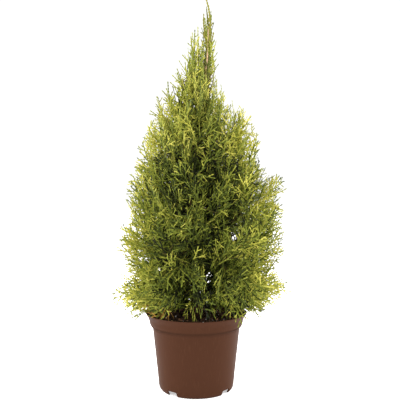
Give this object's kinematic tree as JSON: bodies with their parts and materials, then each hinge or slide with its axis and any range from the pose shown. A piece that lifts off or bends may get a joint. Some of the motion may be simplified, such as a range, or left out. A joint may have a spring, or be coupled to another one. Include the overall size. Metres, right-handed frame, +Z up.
{
  "type": "potted thuja",
  "caption": "Young conifer shrub with a dense, pointed crown of flat scale-leaf sprays, standing in a round tapered nursery pot filled with soil.",
  "frame": {"origin": "on the floor under the middle of the pot and crown", "axes": "+Z up, -Y towards the plant's front, +X to the plant's right as the viewer sees it"},
  "size_m": [0.3253, 0.2755, 0.722],
  "materials": {
    "pot": "satin injection-moulded brown plastic",
    "soil": "rough dark peat",
    "bark": "thin reddish-brown bark",
    "foliage": "matte yellow-green scale leaves"
  },
  "bodies": {
    "root": {"crest_bough_left": "bark", "crest_bough_right": "bark", "crest_foliage_left": "foliage", "crest_foliage_right": "foliage", "leader_foliage": "foliage", "low_bough_back_left": "bark", "low_bough_back_right": "bark", "low_bough_front_left": "bark", "low_bough_front_right": "bark", "low_bough_left": "bark", "low_bough_right": "bark", "low_foliage_back_left": "foliage", "low_foliage_back_right": "foliage", "low_foliage_front_left": "foliage", "low_foliage_front_right": "foliage", "low_foliage_left": "foliage", "low_foliage_right": "foliage", "middle_bough_back_left": "bark", "middle_bough_back_right": "bark", "middle_bough_front": "bark", "middle_bough_left": "bark", "middle_bough_right": "bark", "middle_foliage_back_left": "foliage", "middle_foliage_back_right": "foliage", "middle_foliage_front": "foliage", "middle_foliage_left": "foliage", "middle_foliage_right": "foliage", "pot": "pot", "skirt_bough_back_left": "bark", "skirt_bough_back_right": "bark", "skirt_bough_front_left": "bark", "skirt_bough_front_right": "bark", "skirt_bough_left": "bark", "skirt_bough_right": "bark", "skirt_foliage_back_left": "foliage", "skirt_foliage_back_right": "foliage", "skirt_foliage_front_left": "foliage", "skirt_foliage_front_right": "foliage", "skirt_foliage_left": "foliage", "skirt_foliage_right": "foliage", "soil": "soil", "top_bough_back": "bark", "top_bough_left": "bark", "top_bough_right": "bark", "top_foliage_back": "foliage", "top_foliage_left": "foliage", "top_foliage_right": "foliage", "trunk": "bark", "upper_bough_back": "bark", "upper_bough_front": "bark", "upper_bough_left": "bark", "upper_bough_right": "bark", "upper_foliage_back": "foliage", "upper_foliage_front": "foliage", "upper_foliage_left": "foliage", "upper_foliage_right": "foliage"}
  },
  "joints": []
}
